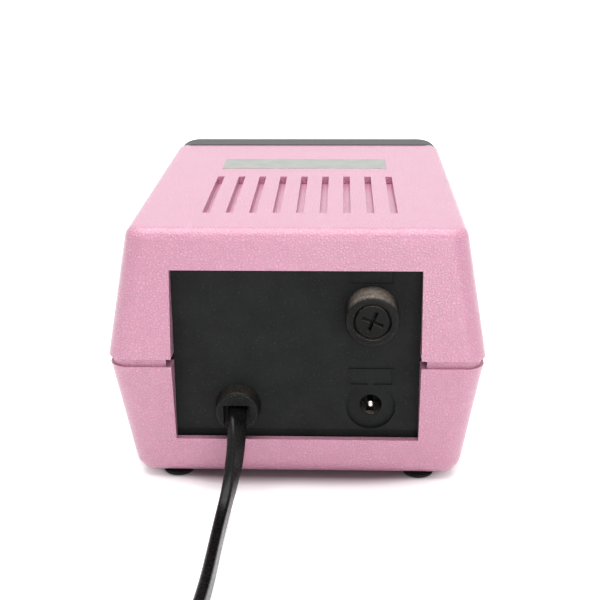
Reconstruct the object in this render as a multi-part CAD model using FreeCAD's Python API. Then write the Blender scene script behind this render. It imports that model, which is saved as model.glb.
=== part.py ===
import FreeCAD, Part

import math
import os

from FreeCAD import Placement, Rotation, Vector

# Control unit of a desktop electric nail drill. Millimetres.
# Origin at the bottom centre of the unit, +Z up, +Y to the rear, +X to the right seen from the front.

# ---------------------------------------------------------------- driving dimensions
case_width = 117.0            # at the parting line
case_depth = 165.8            # at the parting line
foot_height = 1.4             # the case's floor stands this high
parting_z = 44.3              # rim of the upper shell
top_z = 84.1
side_lean_up = 0.165          # how far a wall leans in for each millimetre from the parting line
side_lean_down = 0.155
rear_lean_up = 0.152
rear_lean_down = 0.154
front_slope = 0.540           # slope of the sloping control face
front_lean_down = 0.155
wall = 2.5
corner_r = 6.5                # upright corners of both shells
top_r = 4.0                   # upper shell's top edges
bottom_side_r = 6.5
inner_r = 4.0

groove_height = 2.7           # open groove between the shells
groove_depth = 1.4
tongue_above = 1.5            # tongue's reach into the upper shell
tongue_clear = 0.15
tongue_stop = 1.8             # tongue ends this far short of the rear opening
rail_width = 4.0              # transformer's rails on the floor
floor_bite = 0.5              # a boss starts this far below the floor's surface
over = 1.0                    # cutting tools reach this far past what they cut
rear_reach = 10.0

# rear opening and panel
opening_half_width = 38.4
opening_top_z = 71.8
opening_bottom_z = 15.4
panel_in = 7.0                # panel's face behind the rear parting edge
panel_thickness = 2.0
panel_margin = 2.6            # panel hidden behind the opening's edge
panel_clear = 0.15
panel_step = 1.2              # its foot stands back by this, behind the ledge
panel_step_height = 2.6
surround = 3.4                # width of the guide around the panel
surround_depth = 2.4          # guide behind the panel

# vents in the top
slot_count = 9
slot_pitch = 7.43
slot_width = 2.3
slot_from = 25.6              # from the rear parting edge
slot_to = 75.1
slot_middle_x = -0.6
baffle_thickness = 1.5
baffle_gap = 0.1
baffle_margin = 5.0
baffle_rim = 1.6

# name plate, bare
plate_width = 60.0
plate_length = 15.5
plate_from = 87.3
plate_thickness = 0.5
plate_recess = 0.25
plate_clear = 0.1

# front bezel and control face
bezel_length = 15.0           # from its seam with the shell to the control face
bezel_proud = 0.3             # above the shell's top
bezel_corner_r = 9.0
bezel_top_r = 7.0
bezel_collar_behind = 2.0     # thick part of its wall behind the seam
lip_reach = 3.0
lip_thickness = 1.2
lip_clear = 0.15
overlay_width = 92.0
overlay_height = 37.0
overlay_thickness = 0.5
overlay_recess = 0.3
overlay_corner_r = 3.0
overlay_clear = 0.15          # all round, in its recess

# fuse holder
fuse_x = -23.2
fuse_z = 57.9
fuse_collar_r = 8.2
fuse_collar_out = 9.6
fuse_collar_round = 1.4
fuse_cap_r = 5.2
fuse_fit = 0.05               # radial running clearance
fuse_mouth_gap = 0.60         # ring groove round the cap's face
fuse_mouth_depth = 2.2
fuse_neck_r = 6.0
fuse_cap_length = 9.0
fuse_cap_sunk = 0.2           # its face behind the collar's
fuse_cap_round = 0.4
fuse_held = 2.4               # fuse's length inside the cap
fuse_contact = 0.8
fuse_nut_r = 8.6
fuse_nut_height = 3.0
fuse_tube_r = 2.5
fuse_tube_length = 20.0
fuse_end_r = 2.65
fuse_end_length = 5.5
fuse_clip_wall = 0.4
fuse_grip = 0.02              # end cap's play in its clip
fuse_cup_floor = 0.3
fuse_glass = 0.5
fuse_wire_r = 0.15
fuse_cross = (6.8, 1.1, 3.0)  # cross in the cap's face: length, width, depth
fuse_cross_turn = -22.0
fuse_lug = (4.0, 0.8, 7.0)
fuse_bore_r = 3.6
fuse_spring_room = 3.0        # behind the fuse, for the contact spring the cap presses on

# foot pedal jack
jack_x = -23.3
jack_z = 26.0
jack_hole_r = 3.5
jack_recess_r = 7.75
jack_recess = 1.4
jack_pin_r = 1.0
jack_pin_length = 8.5
jack_body_width = 9.5
jack_body_depth = 13.0
frame_width = 14.1            # bare raised frames above the jack and the fuse
frame_height = 5.8
frame_line = 0.5
frame_raise = 0.45
jack_frame_z = 36.1
fuse_frame_z = 69.5

# strain relief bushing and mains cord
bushing_x = 18.6
bushing_z = 26.0
bushing_head_r = 7.2
bushing_face_r = 6.7
bushing_out = 5.5
bushing_round = 0.9
bushing_neck_r = 5.9
bushing_inside = 8.0
bushing_mouth_half = 4.25
bushing_mouth_floor = 1.6
bushing_mouth_up = 2.3        # mouth's top above the bushing's middle
cord_width = 6.0
cord_thickness = 3.4
cord_slot_clear = 0.15
cord_slot_drop = 0.45         # slot's top under the mouth's top
cord_entry_length = 18.0

# control face: places measured from its middle, x to the right and s up the slope
knob_at = (-25.0, -4.0)
knob_r = 13.0
knob_rim_r = 1.2
knob_height = 13.0
knob_skirt_r = 14.2
knob_skirt_height = 2.5
knob_flutes = 20
knob_flute_r = 1.1
knob_over_face = 1.0
pointer_width = 1.8
pointer_from = 3.0            # from the knob's axis
pointer_depth = 0.5
pointer_raise = 0.1
pointer_angle = 140.0         # towards the scale's lowest number
pot_r = 8.2
pot_height = 9.0
pot_bush_r = 3.5
pot_bush_length = 5.2
pot_shaft_r = 3.0
pot_fit = 0.05
pot_nut_r = 5.2
pot_nut_height = 2.0
rocker_places = {"power": (4.0, 7.0), "direction": (20.0, 7.0), "control": (36.0, 7.0)}
rocker_rest = {"power": -10.0, "direction": 0.0, "control": -10.0}
rocker_r = 6.0
rocker_half_width = 3.6
rocker_gap = 0.2
rocker_pivot_r = 1.0
rocker_pivot_fit = 0.05
rocker_pivot_out = 0.5        # pivot's height above the control face
switch_flange = (10.5, 15.2, 1.8)
switch_body = (9.2, 13.4, 11.5)
switch_hole_clear = 0.15
blade = (4.4, 0.8, 6.5)
blade_pitch = 3.6
hand_jack_at = (28.0, -11.5)
hand_jack_bore_r = 1.8
hand_jack_thread_r = 4.0
hand_jack_nut_r = 6.2
hand_jack_nut_height = 2.6
hand_jack_body = (11.0, 11.0, 12.0)
hand_jack_bore_length = 14.0
jack_lug = (0.6, 3.0, 5.0)
jack_lug_from_middle = 3.0
lamp_at = (6.0, -11.5)
lamp_r = 2.5
lamp_holder_r = 4.0
lamp_sleeve_r = 3.0
fitting_clear = 0.1           # a fitting's hole is this much wider, radially
thread_play = 0.02            # a nut's, on its thread
lamp_length = 8.6

# transformer
trafo_x = -4.0
trafo_in = 70.0
core_width = 57.0
core_height = 47.5
core_stack = 28.0
core_leg = 19.0
core_window = (9.5, 28.5)
bobbin_wall = 1.0
bobbin_clear = 0.2
coil_clear = 0.5
rail_height = 3.0
bracket_sheet = 1.0
bracket_ear = 10.0
bracket_width = 22.0

# board
board_width = 76.0
board_length = 40.0
board_front = 47.0            # board's middle behind the case's front
board_thickness = 1.6
board_over_floor = 6.0
board_hole_inset = 4.0
heatsink_size = (30.0, 3.0, 25.0)
heatsink_fin = (1.2, 8.2)     # thickness and reach
heatsink_fins = 7
transistor_tab = (10.0, 1.2, 15.0)
transistor_body = (10.0, 3.9, 9.0)
transistor_leg = (0.8, 0.6, 5.2)
transistor_pitch = 2.54
capacitor_list = [(12.0, 10.0, 6.5, 24.0), (26.0, 9.0, 4.0, 13.0), (26.0, 22.0, 3.2, 11.0)]
rectifier_size = (15.0, 3.6, 15.0)
connector_size = (10.0, 6.0, 8.0)
connector_wall = 1.0
connector_floor = 2.0
connector_x = (-22.0, -6.0, 10.0)
lead_r = 0.8
lead_spacing = 2.8            # between the two leads of the cord, where they part

# fasteners, bosses and feet
boss_r = 4.2
boss_from_side = 14.5
boss_rear_in = 27.0
boss_from_front = 47.0
boss_pilot_r = 1.25
boss_pilot_depth = 20.0
bracket_boss_r = 4.0
board_boss_r = 3.2
screw_r = 1.45
screw_clear = 0.15
screw_shank_r = 1.2
screw_head_r = 2.9
screw_head_height = 2.2
board_screw_head = (2.4, 1.6)
foot_screw_head = 0.7
head_clear = 0.1
counterbore_r = 3.3
counterbore_depth = 9.0
foot_from_side = 19.3
foot_rear_in = 13.0
foot_from_front = 22.0
foot_r = 5.3
foot_face_r = 4.7
foot_rim_r = 0.8
foot_screw_length = 8.0
foot_boss_r = 3.2

# free cord, laid out behind the unit
cord_tie_width = 8.0
cord_tie_sheet = 0.9
tie_clear = 0.1
coil_mean_r = 31.5
coil_build = 14.4
coil_height = 12.4
coil_round = 1.6
coil_centre = (-4.0, -126.0)   # x, and distance behind the rear parting edge
plug_length = 35.0
plug_width = 26.0
plug_height = 13.6
plug_nose = 7.0
plug_pin_r = 2.0
plug_pin_length = 19.0
plug_pin_spacing = 19.0
plug_edge_r = 4.5
plug_shoulder_r = 3.0
plug_nose_r = 4.6

# ---------------------------------------------------------------- places worked out from them
half_width = case_width / 2
boss_x = half_width - boss_from_side
boss_front_in = case_depth - boss_from_front
foot_x = half_width - foot_from_side
foot_front_in = case_depth - foot_from_front
board_in = case_depth - board_front
bezel_seam_base = case_depth - bezel_length
bezel_top_from = bezel_seam_base - front_slope * (top_z - parting_z)
front_lean = math.atan(front_slope)
knob_out = (knob_over_face + knob_height - knob_rim_r) * math.cos(front_lean)
fuse_out = fuse_collar_out - panel_in
face_middle_z = (parting_z + top_z) / 2
knob_z = face_middle_z + knob_at[1] * math.cos(front_lean)
knob_front_in = (case_depth - front_slope * (knob_z - parting_z) + knob_out
                 + (knob_r - knob_rim_r) * math.sin(front_lean) + knob_rim_r)
rear_y = (knob_front_in - fuse_out) / 2
lower_top_z = parting_z - groove_height
floor_z = foot_height + wall
ceiling_z = top_z - wall
panel_bottom_z = opening_bottom_z - panel_margin
panel_top_z = opening_top_z + panel_margin


def y_at(depth):
    """Y of a place that lies depth in from the rear parting edge."""
    return rear_y - depth


# ---------------------------------------------------------------- shape helpers
def box(x0, x1, in0, in1, z0, z1):
    return Part.makeBox(x1 - x0, in1 - in0, z1 - z0, Vector(x0, y_at(in1), z0))


def centred_box(size, z0, x=0, y=0):
    return Part.makeBox(size[0], size[1], size[2], Vector(x - size[0] / 2, y - size[1] / 2, z0))


def along_y(r, x, z, in0, in1):
    return Part.makeCylinder(r, in1 - in0, Vector(x, y_at(in1), z), Vector(0, 1, 0))


def upright(r, x, depth, z0, z1):
    return Part.makeCylinder(r, z1 - z0, Vector(x, y_at(depth), z0))


def rectangle(z, half, rear, front):
    corners = [Vector(-half, y_at(front), z), Vector(half, y_at(front), z),
               Vector(half, y_at(rear), z), Vector(-half, y_at(rear), z)]
    return Part.makePolygon(corners + corners[:1])


def edges_of(shape, test):
    return [edge for edge in shape.Edges
            if test(edge.CenterOfMass, edge.tangentAt(edge.FirstParameter))]


def rounded(shape, radius, test):
    return shape.makeFillet(radius, edges_of(shape, test))


def upper_hull(inset, base_z, roof_z):
    """Upper half's outline, inset by a wall; its lines run on below the parting."""
    levels = []
    for z in (base_z, roof_z):
        half = half_width - side_lean_up * (z - parting_z) - inset
        rear = rear_lean_up * (z - parting_z) + inset
        front = case_depth - front_slope * (z - parting_z) - inset / math.cos(front_lean)
        levels.append(rectangle(z, half, rear, front))
    return Part.makeLoft(levels, True, True)


def lower_hull(inset, base_z, roof_z):
    levels = []
    for z in (base_z, roof_z):
        half = half_width - side_lean_down * (parting_z - z) - inset
        rear = rear_lean_down * (parting_z - z) + inset
        front = case_depth - front_lean_down * (parting_z - z) - inset
        levels.append(rectangle(z, half, rear, front))
    return Part.makeLoft(levels, True, True)


def upright_edge(centre, tangent):
    return abs(tangent.z) > 0.5


def rear_upright(centre, tangent):
    return abs(tangent.z) > 0.5 and centre.y > 0


def front_upright(centre, tangent):
    return abs(tangent.z) > 0.5 and centre.y < 0


def ring_prism(inset, z0, z1):
    """Upright prism under the parting outline, inset all round."""
    prism = Part.makeLoft([rectangle(z, half_width - inset, inset, case_depth - inset)
                           for z in (z0, z1)], True, True)
    prism = rounded(prism, corner_r - inset, rear_upright)
    return rounded(prism, bezel_corner_r - inset, front_upright)


def seam_block(shift, reach=400.0):
    """Everything in front of the seam between upper shell and bezel, moved back by shift."""
    slope = (bezel_seam_base - bezel_top_from) / (top_z - parting_z)
    low_z, high_z = -reach, reach
    points = [Vector(-reach, y_at(bezel_seam_base - shift - slope * (z - parting_z)), z)
              for z in (low_z, high_z)]
    front = [Vector(-reach, y_at(case_depth + 2 * reach), z) for z in (high_z, low_z)]
    face = Part.Face(Part.makePolygon(points + front + points[:1]))
    return face.extrude(Vector(2 * reach, 0, 0))


def on_face(place, lift=0.0):
    """Placement on the control face: local Z points out of it and local Y up the slope."""
    z = face_middle_z + place[1] * math.cos(front_lean)
    depth = case_depth - front_slope * (z - parting_z)
    turn = Rotation(Vector(1, 0, 0), 90 - math.degrees(front_lean))
    base = Vector(place[0], y_at(depth), z) + turn.multVec(Vector(0, 0, lift))
    return Placement(base, turn)


def placed(shape, placement):
    moved = shape.copy()
    moved.Placement = placement.multiply(moved.Placement)
    return moved


def knocked(shape, *tools):
    for tool in tools:
        shape = shape.cut(tool)
    return shape


def joined(first, *others):
    for other in others:
        first = first.fuse(other)
    return first.removeSplitter()


def round_tube(points, radius):
    """Tube of a round section along straight runs joined by tangent arcs."""
    wire = round_route(points)
    heading = (points[1] - points[0]).normalize()
    profile = Part.Wire(Part.makeCircle(radius, points[0], heading))
    return wire.makePipeShell([profile], True, False)


def round_route(points):
    """Wire of straight runs and tangent arcs, each as large as its two runs allow."""
    edges = []
    here = points[0]
    for before, corner, after in zip(points, points[1:], points[2:]):
        back = (before - corner).normalize()
        ahead = (after - corner).normalize()
        reach = 0.45 * min((before - corner).Length, (after - corner).Length)
        turn = math.pi - back.getAngle(ahead)
        radius = reach / math.tan(turn / 2)
        start = corner + back * reach
        end = corner + ahead * reach
        middle_way = (back + ahead).normalize()
        middle = corner + middle_way * (radius / math.cos(turn / 2) - radius)
        edges.append(Part.LineSegment(here, start).toShape())
        edges.append(Part.Arc(start, middle, end).toShape())
        here = end
    edges.append(Part.LineSegment(here, points[-1]).toShape())
    return Part.Wire(edges)


nodes = {}


def keep(name, *solids):
    nodes[name] = solids


# ---------------------------------------------------------------- case
def case_bosses(z0, z1):
    return [upright(boss_r, side * boss_x, depth, z0, z1)
            for side in (-1, 1) for depth in (boss_rear_in, boss_front_in)]


def panel_guide(outline, z0, z1):
    """Thick edge round the rear opening, from the outer skin to behind the panel."""
    edge = opening_half_width + panel_margin + surround
    block = box(-edge, edge, -over, panel_in + panel_thickness + surround_depth, z0, z1)
    return block.common(outline)


def panel_space(extra):
    return box(-opening_half_width - panel_margin - extra, opening_half_width + panel_margin + extra,
               panel_in - extra, panel_in + panel_thickness + extra,
               panel_bottom_z - extra, panel_top_z + extra)


def opening_cut():
    return box(-opening_half_width, opening_half_width, -rear_reach,
               panel_in + panel_thickness + surround_depth + over, opening_bottom_z, opening_top_z)


def tongue_ring(outer_inset, inner_inset, z0, z1):
    return ring_prism(outer_inset, z0, z1).cut(ring_prism(inner_inset, z0 - 1, z1 + 1))


def vent_slots(z0, z1):
    slots = []
    for number in range(slot_count):
        x = slot_middle_x + (number - (slot_count - 1) / 2) * slot_pitch
        slots.append(box(x - slot_width / 2, x + slot_width / 2, slot_from, slot_to, z0, z1))
    return slots


def top_edge(centre, tangent):
    return centre.z > top_z - 0.01 and (abs(tangent.x) < 0.5 or centre.y > 0)


def make_upper_outline():
    outline = upper_hull(0, parting_z, top_z)
    outline = rounded(outline, corner_r, rear_upright)
    return rounded(outline, top_r, top_edge)


def upper_room(inset, base_z):
    room = upper_hull(inset, base_z, top_z - inset)
    return rounded(room, inner_r, lambda c, t: rear_upright(c, t) or c.z > top_z - inset - 0.01)


def make_upper_shell():
    outline = make_upper_outline()
    shell = outline.cut(upper_room(wall, parting_z - over))
    guide_top = panel_top_z + surround
    shell = shell.fuse(panel_guide(outline, parting_z, guide_top))
    for boss in case_bosses(parting_z + 0.01, top_z):
        shell = shell.fuse(boss.common(outline))
    shell = knocked(shell, seam_block(0), opening_cut(), panel_space(panel_clear),
                    *vent_slots(ceiling_z - over, top_z + over))
    shell = shell.cut(tongue_ring(groove_depth - tongue_clear, wall + tongue_clear,
                                  parting_z - over, parting_z + tongue_above))
    for side in (-1, 1):
        for depth in (boss_rear_in, boss_front_in):
            shell = shell.cut(upright(boss_pilot_r, side * boss_x, depth, parting_z - over,
                                      parting_z + boss_pilot_depth))
    plate_bed = box(-plate_width / 2, plate_width / 2, plate_from, plate_from + plate_length,
                    top_z - plate_recess, top_z + over)
    return shell.cut(plate_bed).removeSplitter()


def make_lower_shell():
    outline = lower_hull(0, foot_height, lower_top_z)
    outline = rounded(outline, corner_r, rear_upright)
    outline = rounded(outline, bezel_corner_r, front_upright)
    outline = rounded(outline, bottom_side_r,
                      lambda c, t: c.z < foot_height + 0.01 and abs(t.y) > 0.9)
    room = lower_hull(wall, floor_z, parting_z)
    room = rounded(room, inner_r, upright_edge)
    room = rounded(room, inner_r, lambda c, t: c.z < floor_z + 0.01)
    shell = outline.cut(room)
    shell = shell.fuse(panel_guide(outline, foot_height, lower_top_z))
    for boss in case_bosses(floor_z - over, parting_z):
        shell = shell.fuse(boss)
    shell = shell.fuse(tongue_ring(groove_depth, wall, lower_top_z - 0.5, parting_z + tongue_above))
    stop = opening_half_width + tongue_stop
    shell = knocked(shell, opening_cut(), panel_space(panel_clear),
                    box(-stop, stop, -over, panel_in + panel_thickness, lower_top_z, opening_top_z))
    for rail_x in (trafo_x - core_width / 3, trafo_x + core_width / 3):
        shell = shell.fuse(box(rail_x - rail_width / 2, rail_x + rail_width / 2,
                               trafo_in - core_stack / 2, trafo_in + core_stack / 2,
                               floor_z - floor_bite, floor_z + rail_height))
    for x in bracket_screw_places():
        shell = shell.fuse(upright(bracket_boss_r, x, trafo_in, floor_z - floor_bite, floor_z + rail_height))
        shell = shell.cut(upright(boss_pilot_r, x, trafo_in, floor_z - floor_bite,
                                  floor_z + rail_height + over))
    for x, depth in board_screw_places():
        shell = shell.fuse(upright(board_boss_r, x, depth, floor_z - floor_bite, floor_z + board_over_floor))
        shell = shell.cut(upright(boss_pilot_r, x, depth, floor_z, floor_z + board_over_floor + over))
    for side in (-1, 1):
        for depth in (boss_rear_in, boss_front_in):
            place = (side * boss_x, depth)
            shell = knocked(shell, upright(counterbore_r, *place, 0, foot_height + counterbore_depth),
                            upright(screw_r + screw_clear, *place, 0, parting_z + over))
    for x, depth in foot_places():
        boss_end = foot_height + foot_screw_length
        shell = shell.fuse(upright(foot_boss_r, x, depth, floor_z - floor_bite, boss_end + floor_bite))
        shell = shell.cut(upright(boss_pilot_r, x, depth, foot_height - over, boss_end))
    return shell.removeSplitter()


def foot_places():
    return [(side * foot_x, depth) for side in (-1, 1) for depth in (foot_rear_in, foot_front_in)]


def bracket_screw_places():
    reach = core_width / 2 + bracket_sheet + bracket_ear / 2
    return [trafo_x - reach, trafo_x + reach]


def board_screw_places():
    x = board_width / 2 - board_hole_inset
    y = board_length / 2 - board_hole_inset
    return [(side * x, board_in + end * y) for side in (-1, 1) for end in (-1, 1)]


upper_shell = make_upper_shell()
lower_shell = make_lower_shell()
keep("upper_shell", upper_shell)
keep("lower_shell", lower_shell)


def make_bezel():
    outline = upper_hull(0, parting_z, top_z + bezel_proud)
    outline = rounded(outline, bezel_corner_r, front_upright)
    roof = top_z + bezel_proud - 0.01
    outline = rounded(outline, bezel_top_r, lambda c, t: c.z > roof and c.y < y_at(case_depth / 3))
    cap = outline.common(seam_block(0)).cut(upper_room(wall, parting_z - over))
    lip_outer = upper_room(wall + lip_clear, parting_z)
    lip_inner = upper_room(wall + lip_clear + lip_thickness, parting_z - over)
    lip = lip_outer.cut(lip_inner).common(seam_block(lip_reach)).cut(seam_block(-0.5))
    collar = upper_room(wall - 0.5, parting_z).cut(lip_inner).common(seam_block(0)).cut(
        seam_block(-bezel_collar_behind))
    bezel = cap.fuse(collar).fuse(lip)
    bezel = bezel.cut(tongue_ring(groove_depth - tongue_clear, wall + tongue_clear,
                                  parting_z - over, parting_z + tongue_above))
    bed = overlay_plate(overlay_width, overlay_height, overlay_recess + over)
    bezel = bezel.cut(placed(bed, on_face((0, 0), -overlay_recess)))
    return bezel.cut(face_holes(-wall - 2, 2)).removeSplitter()


def overlay_plate(width, height, thickness):
    plate = centred_box((width, height, thickness), 0)
    return rounded(plate, overlay_corner_r, upright_edge)


def face_holes(z0, z1):
    """Through holes of the control face, as one tool."""
    rounds = [(pot_bush_r, knob_at), (hand_jack_thread_r, hand_jack_at), (lamp_sleeve_r, lamp_at)]
    holes = [placed(Part.makeCylinder(r + fitting_clear, z1 - z0, Vector(0, 0, z0)), on_face(place))
             for r, place in rounds]
    size = (switch_body[0] + 2 * switch_hole_clear, switch_body[1] + 2 * switch_hole_clear, z1 - z0)
    holes += [placed(centred_box(size, z0), on_face(place)) for place in rocker_places.values()]
    return Part.makeCompound(holes)


def make_overlay():
    plate = overlay_plate(overlay_width - 2 * overlay_clear, overlay_height - 2 * overlay_clear,
                          overlay_thickness)
    return placed(plate, on_face((0, 0), -overlay_recess)).cut(face_holes(-2, 2))


def make_baffle():
    x0 = slot_middle_x - slot_pitch * (slot_count - 1) / 2 - baffle_margin
    x1 = slot_middle_x + slot_pitch * (slot_count - 1) / 2 + baffle_margin
    in0, in1 = slot_from - baffle_margin, slot_to + baffle_margin
    plate = box(x0, x1, in0, in1, ceiling_z - baffle_gap - baffle_thickness, ceiling_z)
    hollow = box(x0 + baffle_rim, x1 - baffle_rim, in0 + baffle_rim, in1 - baffle_rim,
                 ceiling_z - baffle_gap, ceiling_z + over)
    return plate.cut(hollow)


def make_name_plate():
    inset = plate_clear
    z0 = top_z - plate_recess
    return box(-plate_width / 2 + inset, plate_width / 2 - inset, plate_from + inset,
               plate_from + plate_length - inset, z0, z0 + plate_thickness)


keep("front_bezel", make_bezel())
keep("control_overlay", make_overlay())
keep("vent_baffle", make_baffle())
keep("name_plate", make_name_plate())


# ---------------------------------------------------------------- rear panel
def raised_frame(x, z):
    """Bare rectangular frame standing a little proud of the panel."""
    half_w, half_h = frame_width / 2, frame_height / 2
    front = panel_in - frame_raise
    outer = box(x - half_w, x + half_w, front, panel_in + 0.1, z - half_h, z + half_h)
    inner = box(x - half_w + frame_line, x + half_w - frame_line, front - 1, panel_in + 1,
                z - half_h + frame_line, z + half_h - frame_line)
    hidden = box(-case_width, case_width, 0, panel_in + 1, opening_top_z - 0.1, top_z)
    return knocked(outer, inner, hidden)


def make_rear_panel():
    half = opening_half_width + panel_margin
    panel = box(-half, half, panel_in, panel_in + panel_thickness, panel_bottom_z, panel_top_z)
    panel = panel.cut(box(-half - over, half + over, panel_in - over, panel_in + panel_step,
                          panel_bottom_z - over, opening_bottom_z + panel_step_height))
    for x, z in ((jack_x, jack_frame_z), (fuse_x, fuse_frame_z)):
        panel = panel.fuse(raised_frame(x, z))
    return knocked(panel, along_y(jack_recess_r, jack_x, jack_z, 0, panel_in + jack_recess),
                   along_y(jack_hole_r, jack_x, jack_z, 0, 20),
                   along_y(fuse_neck_r + fitting_clear, fuse_x, fuse_z, 0, 20),
                   along_y(bushing_neck_r + fitting_clear, bushing_x, bushing_z, 0, 20)).removeSplitter()


keep("rear_panel", make_rear_panel())

# fuse holder, all along one axis; distances run in from the rear parting edge
fuse_front = panel_in - fuse_collar_out
fuse_cap_end = fuse_front + fuse_cap_length
fuse_start = fuse_cap_end - fuse_held
fuse_end = fuse_start + fuse_tube_length
fuse_shell_end = fuse_end + fuse_spring_room
side_lug_in = fuse_end - 4.4


def fuse_rod(r, in0, in1):
    return along_y(r, fuse_x, fuse_z, in0, in1)


def fuse_pipe(outer_r, inner_r, in0, in1):
    return fuse_rod(outer_r, in0, in1).cut(fuse_rod(inner_r, in0 - 1, in1 + 1))


def make_fuse_terminals():
    end_plate = fuse_rod(fuse_bore_r - 0.2, fuse_end + 0.1, fuse_end + 0.1 + fuse_contact)
    width, sheet, out = fuse_lug
    end_lug = box(fuse_x - width / 2, fuse_x + width / 2, fuse_end + 0.5, fuse_shell_end + out + over,
                  fuse_z - sheet / 2, fuse_z + sheet / 2)
    side_z = fuse_z - fuse_neck_r
    side_lug = box(fuse_x - width / 2, fuse_x + width / 2, side_lug_in - sheet / 2, side_lug_in + sheet / 2,
                   side_z - out, side_z + 1.2)
    return end_plate.fuse(end_lug).removeSplitter(), side_lug


def make_fuse_body(terminals):
    body = fuse_rod(fuse_collar_r, fuse_front, panel_in)
    body = rounded(body, fuse_collar_round, lambda c, t: c.y > y_at(fuse_front + 0.01))
    body = body.fuse(fuse_rod(fuse_neck_r, panel_in - 0.5, fuse_shell_end))
    body = knocked(body, fuse_rod(fuse_cap_r + fuse_mouth_gap, fuse_front - 1, fuse_front + fuse_mouth_depth),
                   fuse_rod(fuse_cap_r + fuse_fit, fuse_front - 1, fuse_cap_end + 0.1),
                   fuse_rod(fuse_bore_r, fuse_front - 1, fuse_end + 0.1 + fuse_contact))
    return knocked(body, *terminals).removeSplitter()


def make_fuse_cap():
    face_in = fuse_front + fuse_cap_sunk
    cap = fuse_rod(fuse_cap_r, face_in, fuse_cap_end)
    cap = rounded(cap, fuse_cap_round, lambda c, t: c.y > y_at(face_in + 0.01))
    length, width, depth = fuse_cross
    for angle in (fuse_cross_turn, fuse_cross_turn + 90):
        arm = box(fuse_x - length / 2, fuse_x + length / 2, face_in - over, face_in + depth,
                  fuse_z - width / 2, fuse_z + width / 2)
        arm.rotate(Vector(fuse_x, 0, fuse_z), Vector(0, 1, 0), angle)
        cap = cap.cut(arm)
    socket = fuse_end_r + fuse_grip + fuse_clip_wall
    return cap.cut(fuse_rod(socket, fuse_start - fuse_clip_wall, fuse_cap_end + 1))


def make_fuse_clip():
    grip = fuse_end_r + fuse_grip
    clip = fuse_rod(grip + fuse_clip_wall, fuse_start - fuse_clip_wall, fuse_start + fuse_end_length + 1)
    return clip.cut(fuse_rod(grip, fuse_start, fuse_start + fuse_end_length + 2))


def make_fuse_ends():
    ends = []
    far_cup = fuse_end - fuse_end_length
    for in0, cup0 in ((fuse_start, fuse_start + fuse_cup_floor), (far_cup, far_cup - over)):
        cup = fuse_rod(fuse_end_r, in0, in0 + fuse_end_length)
        ends.append(cup.cut(fuse_rod(fuse_tube_r, cup0, cup0 + fuse_end_length + over - fuse_cup_floor)))
    return ends


fuse_terminals = make_fuse_terminals()
keep("fuse_holder_body", make_fuse_body(fuse_terminals))
keep("fuse_terminals", *fuse_terminals)
keep("fuse_cap", make_fuse_cap())
keep("fuse_clip", make_fuse_clip())
keep("fuse_end_caps", *make_fuse_ends())
glass_ends = (fuse_start + fuse_cup_floor, fuse_end - fuse_cup_floor)
keep("fuse_tube", fuse_pipe(fuse_tube_r, fuse_tube_r - fuse_glass, *glass_ends))
keep("fuse_wire", fuse_rod(fuse_wire_r, *glass_ends))
panel_back = panel_in + panel_thickness
keep("fuse_holder_nut", fuse_pipe(fuse_nut_r, fuse_neck_r + thread_play, panel_back,
                                  panel_back + fuse_nut_height))

# foot pedal jack
jack_back = panel_back + jack_body_depth
jack_pin_tip = panel_back - 0.5
jack_pin_base = jack_pin_tip + jack_pin_length


def make_jack_pin():
    pin = along_y(jack_pin_r, jack_x, jack_z, jack_pin_tip, jack_pin_base)
    pin = pin.makeChamfer(0.4, edges_of(pin, lambda c, t: c.y > y_at(jack_pin_tip + 0.01)))
    return pin.fuse(along_y(jack_pin_r - 0.2, jack_x, jack_z, jack_pin_base - 0.1, jack_back - 0.8))


def make_jack_contacts():
    bottom = jack_z - jack_hole_r
    leaf = box(jack_x - 1.2, jack_x + 1.2, panel_back + 1.5, jack_pin_base, bottom + 0.15, bottom + 0.45)
    lugs = [box(jack_x + side * 2.6 - 0.3, jack_x + side * 2.6 + 0.3, jack_back, jack_back + 5,
                jack_z - 1.5, jack_z + 1.5) for side in (-1, 1)]
    return [leaf] + lugs


def make_jack_body(pin, leaf):
    half = jack_body_width / 2
    body = box(jack_x - half, jack_x + half, panel_back, jack_back, jack_z - half, jack_z + half)
    body = body.cut(along_y(jack_hole_r, jack_x, jack_z, 0, jack_pin_base))
    bottom = jack_z - jack_hole_r
    groove = box(jack_x - 1.2, jack_x + 1.2, panel_back, jack_pin_base, bottom - 0.1, bottom + 0.6)
    return knocked(body, groove, pin, leaf)


jack_pin = make_jack_pin()
jack_contacts = make_jack_contacts()
keep("foot_jack_pin", jack_pin)
keep("foot_jack_contacts", *jack_contacts)
keep("foot_jack_body", make_jack_body(jack_pin, jack_contacts[0]))

# strain relief bushing
bushing_front = panel_in - bushing_out
mouth_floor_in = panel_in - bushing_mouth_floor
mouth_top_z = bushing_z + bushing_mouth_up
cord_exit_z = mouth_top_z - cord_slot_drop - cord_thickness / 2


def flat_section(clear, in0, in1):
    bar = box(bushing_x - cord_width / 2 - clear, bushing_x + cord_width / 2 + clear, in0, in1,
              cord_exit_z - cord_thickness / 2 - clear, cord_exit_z + cord_thickness / 2 + clear)
    return rounded(bar, cord_thickness / 2 - 0.05, lambda c, t: abs(t.y) > 0.9)


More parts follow.
